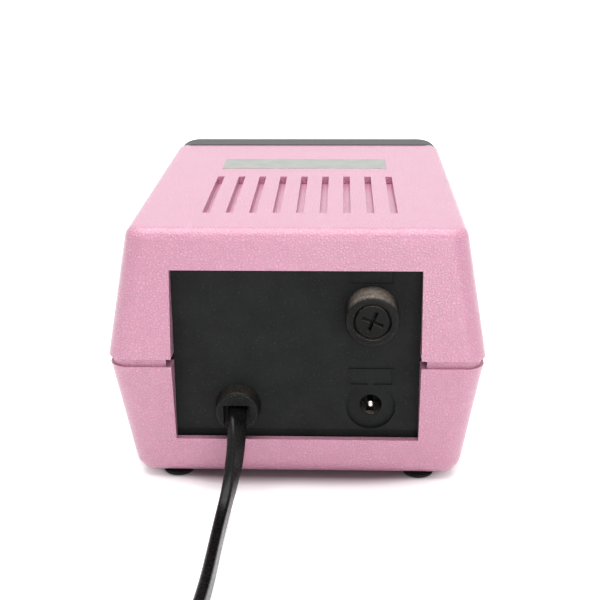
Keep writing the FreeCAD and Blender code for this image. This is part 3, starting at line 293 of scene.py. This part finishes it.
# %% Plug pins
pin_low, pin_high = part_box("plug_pins")
pin_radius = 2.0 * mm
pin_rows = (pin_low.y + pin_radius, pin_high.y - pin_radius)
pin_profile = [(0.0, 0.0), (1.1, 0.0), (1.7, 0.35), (2.0, 1.1), (2.0, 9.4), (1.88, 9.5),
               (1.88, 19.6), (0.0, 19.6)]
bm = bmesh.new()
for row in pin_rows:
    corners = [bm.verts.new((0.0, out * mm, along * mm)) for out, along in pin_profile]
    lines = [bm.edges.new(pair) for pair in zip(corners, corners[1:])]
    bmesh.ops.spin(bm, geom=[*corners, *lines], axis=(0, 0, 1), cent=(0, 0, 0),
                   angle=2 * math.pi, steps=32, use_merge=True)
    fresh = [vertex for vertex in bm.verts if not vertex.tag]
    bmesh.ops.transform(bm, matrix=Matrix.Translation((pin_low.x, row, plug_axis.z))
                        @ Matrix.Rotation(math.pi / 2, 4, "Y"), verts=fresh)
    for vertex in bm.verts:
        vertex.tag = True
plug_prongs = make_piece("plug_prongs", bm, replaces=("plug_pins",))


# %% [markdown]
# ## The tie
#
# A hook-and-loop strap holds the turns. It goes round the bundle at one place, as a closed loop.
# An outline with rounded corners, inset and extruded, gives that loop without a separate bend.

# %% Coil tie
tie_low, tie_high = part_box("cord_tie")
tie_corner = 2.0 * mm
bm = bmesh.new()
bmesh.ops.create_grid(bm, x_segments=1, y_segments=1, size=0.5)
bmesh.ops.scale(bm, vec=(tie_high.x - tie_low.x, tie_high.z - tie_low.z, 1.0), verts=bm.verts)
bmesh.ops.bevel(bm, geom=bm.verts, offset=tie_corner, offset_type="OFFSET", segments=6,
                profile=0.5, affect="VERTICES", material=-1)
bmesh.ops.transform(bm, matrix=Matrix.Translation((tie_low + tie_high) / 2)
                    @ Matrix.Rotation(math.pi / 2, 4, "X"), verts=bm.verts)
bmesh.ops.translate(bm, vec=(0, (tie_high.y - tie_low.y) / 2, 0), verts=bm.verts)
bm.faces.ensure_lookup_table()
loop_face = bm.faces[0]
bmesh.ops.inset_region(bm, faces=[loop_face], thickness=0.8 * mm, use_boundary=True,
                       use_even_offset=True)
bmesh.ops.delete(bm, geom=[loop_face], context="FACES_ONLY")
strap = bmesh.ops.extrude_face_region(bm, geom=list(bm.faces))["geom"]
bmesh.ops.translate(bm, vec=(0, tie_low.y - tie_high.y, 0),
                    verts=[part for part in strap if isinstance(part, bmesh.types.BMVert)])
coil_tie = make_piece("coil_tie", bm, replaces=("cord_tie",))


# %% [markdown]
# ## Print on the control face
#
# The speed scale is screen printed round the knob: plain numbers from 0 to 30, thousands of turns
# a minute, with a tick for each, over the 280 degrees that the knob turns. The switches have the
# usual marks for on and off and for the two ways of turning. Ink lies a few hundredths of a
# millimetre high, so each mark is a thin raised mesh, laid flat first and then set on the slope.

# %% Control face print
slope_up = Vector((0, 0.475149, 0.879905))
slope_out = Vector((0, -0.879905, 0.475149))
film_middle = Vector((0, -0.068842, 0.0642)) + slope_out * 0.2 * mm
ink = 0.05 * mm
on_film = Matrix(((1, 0, 0), slope_up, slope_out)).transposed().to_4x4()
on_film.translation = film_middle
knob_x, knob_y = -25.0, -4.0
scale_start, scale_sweep, scale_numbers = 230.0, 280.0, 7
tick_radius, number_radius = 15.4, 17.6


def print_text(bm, words, x, y, height):
    """Adds a word as a thin mesh, centred on a point of the control face, in millimetres."""
    letters = bpy.data.curves.new("letters", "FONT")
    letters.body = words
    letters.size = height * mm
    letters.extrude = ink
    letters.resolution_u = 4
    letters.align_x, letters.align_y = "CENTER", "CENTER"
    holder = bpy.data.objects.new("letters", letters)
    shape = bpy.data.meshes.new_from_object(holder)
    bpy.data.objects.remove(holder)
    bpy.data.curves.remove(letters)
    shape.transform(on_film @ Matrix.Translation((x * mm, y * mm, 0)))
    bm.from_mesh(shape)
    bpy.data.meshes.remove(shape)


def print_bar(bm, x, y, wide, tall, turn):
    """Adds a printed bar, centred on a point of the control face, in millimetres."""
    place = (on_film @ Matrix.Translation((x * mm, y * mm, 0))
             @ Matrix.Rotation(math.radians(turn), 4, "Z")
             @ Matrix.Diagonal((wide * mm, tall * mm, 2 * ink, 1)))
    bmesh.ops.create_cube(bm, size=1.0, matrix=place)


bm = bmesh.new()
for number in range(scale_numbers):
    angle = scale_start - scale_sweep * number / (scale_numbers - 1)
    across, along = math.cos(math.radians(angle)), math.sin(math.radians(angle))
    print_bar(bm, knob_x + tick_radius * across, knob_y + tick_radius * along, 1.4, 0.35, angle)
    print_text(bm, str(5 * number), knob_x + number_radius * across,
               knob_y + number_radius * along, 2.3)
mark_above, mark_below, mark_height = 17.2, -3.2, 2.4
for x, above, below in ((4.0, "I", "O"), (20.0, "R", "L"), (36.0, "1", "2")):
    print_text(bm, above, x, mark_above, mark_height)
    print_text(bm, below, x, mark_below, mark_height)
control_print = make_piece("control_print", bm)


# %% [markdown]
# ## Table and light
#
# Product pictures are taken on a pale sweep in a tent of soft light, so shadows are short and
# the background is white. The floor is near white paper, and a little of its brightness is given
# only to the eye and to reflections, so that it reads as white while its shadow stays.

# %% Floor
bm = bmesh.new()
bmesh.ops.create_grid(bm, x_segments=1, y_segments=1, size=4.0)
floor_mesh = bpy.data.meshes.new("floor")
bm.to_mesh(floor_mesh)
bm.free()
floor = bpy.data.objects.new("floor", floor_mesh)
bpy.context.scene.collection.objects.link(floor)


# %% Node helpers
def linear(hex_colour):
    """Linear RGBA of an sRGB hex colour."""
    channels = [int(hex_colour[i:i + 2], 16) / 255 for i in (1, 3, 5)]
    return (*[c / 12.92 if c <= 0.04045 else ((c + 0.055) / 1.055) ** 2.4 for c in channels], 1.0)


def add(tree, kind, inputs=None, **settings):
    """Adds a node with its settings; inputs holds a value or another node's output by socket."""
    made = tree.nodes.new("ShaderNode" + kind)
    for name, value in settings.items():
        setattr(made, name, value)
    for socket, value in (inputs or {}).items():
        if isinstance(value, bpy.types.NodeSocket):
            tree.links.new(value, made.inputs[socket])
        else:
            made.inputs[socket].default_value = value
    return made


def blend_colours(tree, share, first, second):
    """Colour between two, by a share."""
    mix = add(tree, "Mix", {0: share}, data_type="RGBA")
    for socket, colour in ((6, first), (7, second)):
        if isinstance(colour, bpy.types.NodeSocket):
            tree.links.new(colour, mix.inputs[socket])
        else:
            mix.inputs[socket].default_value = colour
    return mix.outputs[2]


def new_material(name):
    """An empty node material and its tree."""
    material = bpy.data.materials.new(name)
    material.use_nodes = True
    material.node_tree.nodes.clear()
    return material, material.node_tree


def seen_directly(tree):
    """1 for rays from the eye, a mirror or glass, and 0 for rays that gather light."""
    path = add(tree, "LightPath")
    seen = add(tree, "Math", {0: path.outputs["Is Camera Ray"], 1: path.outputs["Is Glossy Ray"]},
               operation="MAXIMUM")
    return add(tree, "Math", {0: seen.outputs[0], 1: path.outputs["Is Transmission Ray"]},
               operation="MAXIMUM").outputs[0]


# %% Floor finish
# Coated paper: nearly white and without gloss. Where the unit stands its colour is painted a
# pinkish grey, a painted contact shadow. Its glow starts at the edge of that shadow, a rounded
# rectangle round the feet, and rises outward until the paper reads as white.
white_paper_sweep, tree = new_material("white_paper_sweep")
spot = add(tree, "TexCoord").outputs["Object"]
shares = add(tree, "SeparateXYZ", {0: add(tree, "VectorMath", {0: spot, 1: (0.060, 0.090, 1.0)},
                                          operation="DIVIDE").outputs[0]})
powers = [add(tree, "Math", {0: add(tree, "Math", {0: shares.outputs[axis]},
                                    operation="ABSOLUTE").outputs[0], 1: 4.0},
              operation="POWER").outputs[0] for axis in (0, 1)]
rounded = add(tree, "Math", {0: add(tree, "Math", {0: powers[0], 1: powers[1]},
                                    operation="ADD").outputs[0], 1: 0.25},
              operation="POWER").outputs[0]
near = add(tree, "MapRange", {"Value": rounded, "From Min": 0.90, "From Max": 1.04,
                              "To Min": 0.0, "To Max": 0.50}, interpolation_type="SMOOTHSTEP")
# Painted shadow: the paper's colour fades from a pinkish grey under the unit to white outside it.
painted_shadow_fade = add(tree, "MapRange", {"Value": rounded, "From Min": 0.86, "From Max": 0.95},
           interpolation_type="SMOOTHSTEP").outputs[0]
paper = add(tree, "BsdfDiffuse", {"Color": blend_colours(tree, painted_shadow_fade, linear("#A2969A"),
                                                         linear("#FBFBFB")), "Roughness": 0.0})
away = add(tree, "VectorMath", {0: spot}, operation="LENGTH").outputs["Value"]
far = add(tree, "MapRange", {"Value": away, "From Min": 0.12, "From Max": 0.60,
                             "To Min": 0.0, "To Max": 0.54}, interpolation_type="SMOOTHSTEP")
rise = add(tree, "Math", {0: near.outputs[0], 1: far.outputs[0]}, operation="ADD")
lift = add(tree, "Math", {0: seen_directly(tree), 1: rise.outputs[0]}, operation="MULTIPLY")
glow = add(tree, "Emission", {"Color": (1, 1, 1, 1), "Strength": lift.outputs[0]})
both = add(tree, "AddShader", {0: paper.outputs[0], 1: glow.outputs[0]})
add(tree, "OutputMaterial", {"Surface": both.outputs[0]})
floor_mesh.materials.append(white_paper_sweep)

# %% World and lamps
world = bpy.data.worlds.new("light_tent")
bpy.context.scene.world = world
world.use_nodes = True
tree = world.node_tree
tree.nodes.clear()
tent = add(tree, "Background", {"Color": (1, 1, 1, 1), "Strength": 0.25})
shown = add(tree, "Background", {"Color": (1, 1, 1, 1), "Strength": 1.0})
mixed = add(tree, "MixShader", {0: seen_directly(tree), 1: tent.outputs[0], 2: shown.outputs[0]})
add(tree, "OutputWorld", {"Surface": mixed.outputs[0]})


def softbox(name, place, aim, size, watts):
    """A square area lamp at a place, turned to its aim."""
    lamp_data = bpy.data.lights.new(name, "AREA")
    lamp_data.shape = "SQUARE"
    lamp_data.size = size
    lamp_data.energy = watts
    lamp = bpy.data.objects.new(name, lamp_data)
    bpy.context.scene.collection.objects.link(lamp)
    turn = (Vector(aim) - Vector(place)).to_track_quat("-Z", "Y")
    lamp.matrix_world = Matrix.Translation(place) @ turn.to_matrix().to_4x4()
    return lamp


softbox("overhead_softbox", (0.0, 0.04, 1.15), (0, 0, 0), 1.2, 17.0)
softbox("rear_softbox", (-0.26, 1.24, 0.36), (0, 0, 0.04), 0.8, 5.9)
bpy.context.scene.view_settings.view_transform = "Standard"


# %% [markdown]
# ## Finishes
#
# Each finish starts from the real material and how it was made. The grain of a moulded surface
# is a pattern of low bumps, so a bump from a fine noise gives its look without more mesh. Real
# grain on such a box is about a millimetre across. Every pattern is scaled in millimetres from
# the object's own coordinates, so it stays put when a part turns.

# %% Finish helpers
def object_place(tree, stretch=(1.0, 1.0, 1.0)):
    """Object coordinates, stretched along each axis."""
    place = add(tree, "TexCoord").outputs["Object"]
    return add(tree, "Mapping", {"Vector": place, "Scale": stretch}).outputs[0]


def noise(tree, place, size, detail=2.0, roughness=0.5, distortion=0.0):
    """A noise whose patches are that many metres wide, from 0 to 1."""
    return add(tree, "TexNoise", {"Vector": place, "Scale": 1 / size, "Detail": detail,
                                  "Roughness": roughness, "Distortion": distortion}).outputs["Fac"]


def between(tree, value, low, high, from_low=0.3, from_high=0.7):
    """Maps a value onto a range, with smooth ends."""
    return add(tree, "MapRange", {"Value": value, "From Min": from_low, "From Max": from_high,
                                  "To Min": low, "To Max": high},
               interpolation_type="SMOOTHSTEP").outputs[0]


def raised(tree, height, depth, below=None):
    """Bump that many metres deep; below is a bump that it lies on."""
    inputs = {"Strength": 1.0, "Distance": depth, "Height": height}
    if below is not None:
        inputs["Normal"] = below
    return add(tree, "Bump", inputs).outputs[0]


def surface(tree, inputs):
    """The surface shader with its output."""
    shader = add(tree, "BsdfPrincipled", inputs)
    add(tree, "OutputMaterial", {"Surface": shader.outputs[0]})


# %% Pink ABS
# Injection moulded ABS from a textured mould: a leather-like grain with pads of about 0.95 mm and
# slightly deeper creases, semi-matte, with a thin gloss and a little light that sinks in.
grained_pink_abs, tree = new_material("grained_pink_abs")
place = object_place(tree)
cells = add(tree, "TexVoronoi", {"Vector": place, "Scale": 1 / (0.95 * mm), "Randomness": 1.0},
            feature="DISTANCE_TO_EDGE").outputs["Distance"]
pads = between(tree, cells, 0.0, 1.0, 0.0, 0.30)
fine = noise(tree, place, 0.50 * mm, detail=3.0, roughness=0.6)
height = add(tree, "Math", {0: fine, 1: 0.7, 2: pads}, operation="MULTIPLY_ADD").outputs[0]
mottle = between(tree, noise(tree, place, 14 * mm, detail=3.0), 0.0, 1.0)
skin = blend_colours(tree, mottle, linear("#D898B2"), linear("#DB9EB7"))
# The creases are painted darker than the pads: painted shade in the grain.
surface(tree, {"Base Color": blend_colours(tree, pads, linear("#D08EA9"), skin),
               "Roughness": between(tree, fine, 0.36, 0.50), "IOR": 1.53,
               "Coat Weight": 0.9, "Coat Roughness": 0.30,
               "Subsurface Weight": 0.25, "Subsurface Radius": (2.4, 0.9, 1.2),
               "Subsurface Scale": 1.0 * mm,
               "Normal": raised(tree, height, 0.18 * mm)})


# %% Black ABS of the bezel
# Spark-eroded black ABS: a fine, even grain that greys the black where light grazes it.
sparked_black_abs, tree = new_material("sparked_black_abs")
place = object_place(tree)
grit = noise(tree, place, 0.45 * mm, detail=4.0, roughness=0.7)
surface(tree, {"Base Color": blend_colours(tree, between(tree, grit, 0.0, 1.0), linear("#343334"),
                                           linear("#484647")),
               "Roughness": 0.52, "IOR": 1.53, "Normal": raised(tree, grit, 0.06 * mm)})


# %% Moulded blacks
def moulded_black(name, dark, pale, roughness, grain, depth, specular, dust=0.0, lit_top_paint=0.0):
    """A black polymer with a fine grain, specks of dust and a painted highlight where it faces up."""
    material, tree = new_material(name)
    place = object_place(tree)
    fine = noise(tree, place, grain, detail=3.0, roughness=0.6)
    patches = between(tree, noise(tree, place, 9 * mm, detail=4.0, roughness=0.6), 0.0, 1.0)
    colour = blend_colours(tree, patches, linear(dark), linear(pale))
    if dust:
        specks = between(tree, noise(tree, place, 0.32 * mm, detail=2.0), 0.0, dust, 0.66, 0.74)
        colour = blend_colours(tree, specks, colour, linear("#A9A7A2"))
    # Painted highlight: surfaces that face up are painted paler, as if lit from above.
    if lit_top_paint:
        facing = add(tree, "SeparateXYZ", {0: add(tree, "TexCoord").outputs["Normal"]}).outputs["Z"]
        lit_top_patches = between(tree, noise(tree, place, 0.9 * mm, detail=4.0, roughness=0.7), 0.25, 1.0)
        film = add(tree, "Math", {0: between(tree, facing, 0.0, lit_top_paint, 0.30, 1.0), 1: lit_top_patches},
                   operation="MULTIPLY").outputs[0]
        colour = blend_colours(tree, film, colour, linear("#9A9084"))
    low, high = roughness
    surface(tree, {"Base Color": colour, "Roughness": between(tree, fine, low, high),
                   "IOR": 1.5, "Specular IOR Level": specular,
                   "Normal": raised(tree, fine, depth)})
    return material


# The panel is matte sheet-like ABS, the bushing and the fuse holder are nylon, with a satin skin
# that holds dust. What faces up is painted paler, a painted highlight of the light from above.
# The bushing hangs under the fuse holder, so its painted highlight is fainter, but it has more
# specks. The lead's PVC is glossy and a little wavy.
matte_black_panel = moulded_black("matte_black_panel", "#161717", "#1C1E1D", (0.52, 0.64),
                                  0.5 * mm, 0.012 * mm, 0.14, dust=0.10)
satin_black_nylon = moulded_black("satin_black_nylon", "#0C0C0C", "#121211", (0.34, 0.48),
                                  0.40 * mm, 0.020 * mm, 0.15, dust=0.22, lit_top_paint=0.70)
speckled_black_nylon = moulded_black("speckled_black_nylon", "#0A0A0A", "#0F0F0E", (0.32, 0.46),
                                     0.40 * mm, 0.030 * mm, 0.16, dust=0.34, lit_top_paint=0.10)
glossy_black_pvc = moulded_black("glossy_black_pvc", "#080808", "#0C0C0C", (0.22, 0.34),
                                 0.9 * mm, 0.025 * mm, 0.20, dust=0.08)
moulded_rubber = moulded_black("moulded_rubber", "#0C0B0C", "#121112", (0.62, 0.78),
                               0.5 * mm, 0.03 * mm, 0.25, dust=0.12)
knob_abs = moulded_black("knob_abs", "#18181A", "#1E1E20", (0.34, 0.46), 0.35 * mm, 0.012 * mm, 0.45)


# %% Woven strap
# The tie is hook-and-loop tape: a nylon weave of about 0.9 mm, dull.
woven_black_tape, tree = new_material("woven_black_tape")
place = object_place(tree)
warp = add(tree, "TexWave", {"Vector": place, "Scale": 1 / (0.9 * mm) / 3.2, "Distortion": 0.6},
           bands_direction="Y").outputs["Fac"]
weft = add(tree, "TexWave", {"Vector": place, "Scale": 1 / (0.9 * mm) / 3.2, "Distortion": 0.6},
           bands_direction="Z").outputs["Fac"]
weave = add(tree, "Math", {0: warp, 1: weft}, operation="MULTIPLY").outputs[0]
surface(tree, {"Base Color": blend_colours(tree, weave, linear("#151515"), linear("#2A2A2B")),
               "Roughness": 0.85, "Specular IOR Level": 0.25, "Normal": raised(tree, weave, 0.2 * mm)})


# %% Metals
def drawn_metal(name, colour, roughness, stretch, depth, size=0.25 * mm):
    """A bare metal with lines of brushing or drawing along the axis that is stretched least."""
    material, tree = new_material(name)
    lines = noise(tree, object_place(tree, stretch), size, detail=3.0, roughness=0.65)
    patches = noise(tree, object_place(tree), 6 * mm, detail=3.0)
    low, high = roughness
    tint = blend_colours(tree, between(tree, patches, 0.0, 1.0), linear(colour[0]), linear(colour[1]))
    surface(tree, {"Base Color": tint, "Metallic": 1.0, "Roughness": between(tree, lines, low, high),
                   "Normal": raised(tree, lines, depth)})
    return material


# Foil, zinc, nickel, tin and aluminium differ in colour, in gloss and in how their lines run.
brushed_silver_foil = drawn_metal("brushed_silver_foil", ("#AEB0AC", "#B8BAB6"), (0.34, 0.46),
                                  (0.03, 1.0, 1.0), 0.006 * mm)
zinc_plated_steel = drawn_metal("zinc_plated_steel", ("#AEB1B6", "#BDBFC2"), (0.28, 0.40),
                                (1.0, 1.0, 1.0), 0.008 * mm, 0.6 * mm)
nickel_plate = drawn_metal("nickel_plate", ("#C6C2B9", "#D0CCC3"), (0.14, 0.24),
                           (1.0, 1.0, 0.2), 0.003 * mm)
tinned_brass = drawn_metal("tinned_brass", ("#C9AE6E", "#D8C48C"), (0.26, 0.40),
                           (1.0, 0.3, 1.0), 0.006 * mm)
extruded_aluminium = drawn_metal("extruded_aluminium", ("#BFC1C4", "#CACCCE"), (0.30, 0.42),
                                 (1.0, 1.0, 0.04), 0.012 * mm)

# %% Varnished laminations
# The core is a stack of punched iron sheets 0.5 mm thick, dipped in varnish.
varnished_iron, tree = new_material("varnished_iron")
place = object_place(tree)
sheets = add(tree, "TexWave", {"Vector": place, "Scale": 1 / (0.5 * mm) / 6.2832 * 2,
                               "Distortion": 0.4}, bands_direction="Y").outputs["Fac"]
stain = between(tree, noise(tree, place, 7 * mm, detail=4.0), 0.0, 1.0)
surface(tree, {"Base Color": blend_colours(tree, stain, linear("#35322F"), linear("#4A443D")),
               "Roughness": between(tree, stain, 0.28, 0.5), "Normal": raised(tree, sheets, 0.08 * mm)})

# %% Winding tape
# Polyester tape over the winding, lapped every 5 mm, glossy and yellow.
lapped_yellow_tape, tree = new_material("lapped_yellow_tape")
place = object_place(tree)
laps = add(tree, "TexWave", {"Vector": place, "Scale": 1 / (5 * mm) / 3.2, "Distortion": 0.2},
           bands_direction="Z", wave_profile="SAW").outputs["Fac"]
surface(tree, {"Base Color": blend_colours(tree, laps, linear("#C99B22"), linear("#DDB644")),
               "Roughness": 0.3, "Normal": raised(tree, laps, 0.15 * mm)})

# %% Solder mask
# Green lacquer over copper tracks: the tracks show as paler, slightly raised bands.
green_solder_mask, tree = new_material("green_solder_mask")
place = object_place(tree, (1.0, 1.0, 0.0))
tracks = add(tree, "TexVoronoi", {"Vector": place, "Scale": 1 / (7 * mm)},
             feature="DISTANCE_TO_EDGE").outputs["Distance"]
track = between(tree, tracks, 1.0, 0.0, 0.09, 0.13)
surface(tree, {"Base Color": blend_colours(tree, track, linear("#1B5A31"), linear("#2C7A45")),
               "Roughness": 0.28, "Normal": raised(tree, track, 0.05 * mm)})

# %% Print film, nylon, lens and glass
# The control face is a matte printed polyester film, with the texture of fine sand.
matte_print_film, tree = new_material("matte_print_film")
sand = noise(tree, object_place(tree), 0.25 * mm, detail=2.0)
surface(tree, {"Base Color": blend_colours(tree, between(tree, sand, 0.0, 1.0), linear("#1E1E20"),
                                           linear("#252527")),
               "Roughness": 0.46, "Normal": raised(tree, sand, 0.010 * mm)})

# Screen ink: pale grey, matte, with the slight unevenness of the screen's mesh.
screen_ink, tree = new_material("screen_ink")
weave = noise(tree, object_place(tree), 0.3 * mm, detail=2.0)
surface(tree, {"Base Color": blend_colours(tree, weave, linear("#CFCFCB"), linear("#DEDEDA")),
               "Roughness": 0.6})

# Natural nylon: milky, slightly yellow, with light that sinks in.
natural_nylon, tree = new_material("natural_nylon")
cloud = noise(tree, object_place(tree), 3 * mm, detail=3.0)
surface(tree, {"Base Color": blend_colours(tree, between(tree, cloud, 0.0, 1.0), linear("#E3E0D6"),
                                           linear("#ECEAE2")),
               "Roughness": between(tree, cloud, 0.36, 0.48), "Subsurface Weight": 0.15,
               "Subsurface Radius": (0.6, 0.5, 0.4), "Subsurface Scale": 1.0 * mm,
               "Normal": raised(tree, cloud, 0.02 * mm)})

# The lamp's lens is tinted acrylic, and the fuse is a soda glass tube.
red_acrylic, tree = new_material("red_acrylic")
haze = noise(tree, object_place(tree), 1.2 * mm, detail=3.0)
surface(tree, {"Base Color": blend_colours(tree, between(tree, haze, 0.0, 1.0), linear("#B4120E"),
                                           linear("#CC1D16")),
               "Roughness": between(tree, haze, 0.10, 0.22), "IOR": 1.49, "Transmission Weight": 0.35})
fuse_glass, tree = new_material("fuse_glass")
smear = noise(tree, object_place(tree), 2.0 * mm, detail=3.0)
surface(tree, {"Base Color": linear("#F2F8F6"), "Roughness": between(tree, smear, 0.02, 0.08),
               "IOR": 1.52, "Transmission Weight": 1.0})

# %% Finish by slot
finish_of_slot = {
    "shell_pink": grained_pink_abs, "bezel_grey": sparked_black_abs, "panel_black": matte_black_panel,
    "black_plastic": satin_black_nylon, "knob_black": knob_abs, "white_plastic": natural_nylon,
    "silver_plate": brushed_silver_foil, "overlay": matte_print_film, "steel": zinc_plated_steel,
    "nickel": nickel_plate, "brass": tinned_brass, "aluminium": extruded_aluminium,
    "core_steel": varnished_iron, "winding": lapped_yellow_tape, "board": green_solder_mask,
    "glass": fuse_glass, "lamp_red": red_acrylic, "rubber": moulded_rubber,
    "cord_pvc": glossy_black_pvc,
}
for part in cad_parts.values():
    for socket in part.material_slots:
        socket.material = finish_of_slot[socket.material.name]
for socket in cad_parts["cord_bushing"].material_slots:
    socket.material = speckled_black_nylon
for piece, finish in ((mains_lead, glossy_black_pvc), (plug_moulding, satin_black_nylon),
                      (plug_prongs, nickel_plate), (coil_tie, woven_black_tape),
                      (control_print, screen_ink)):
    piece.data.materials.clear()
    piece.data.materials.append(finish)
print("finishes", len(finish_of_slot), "slots")
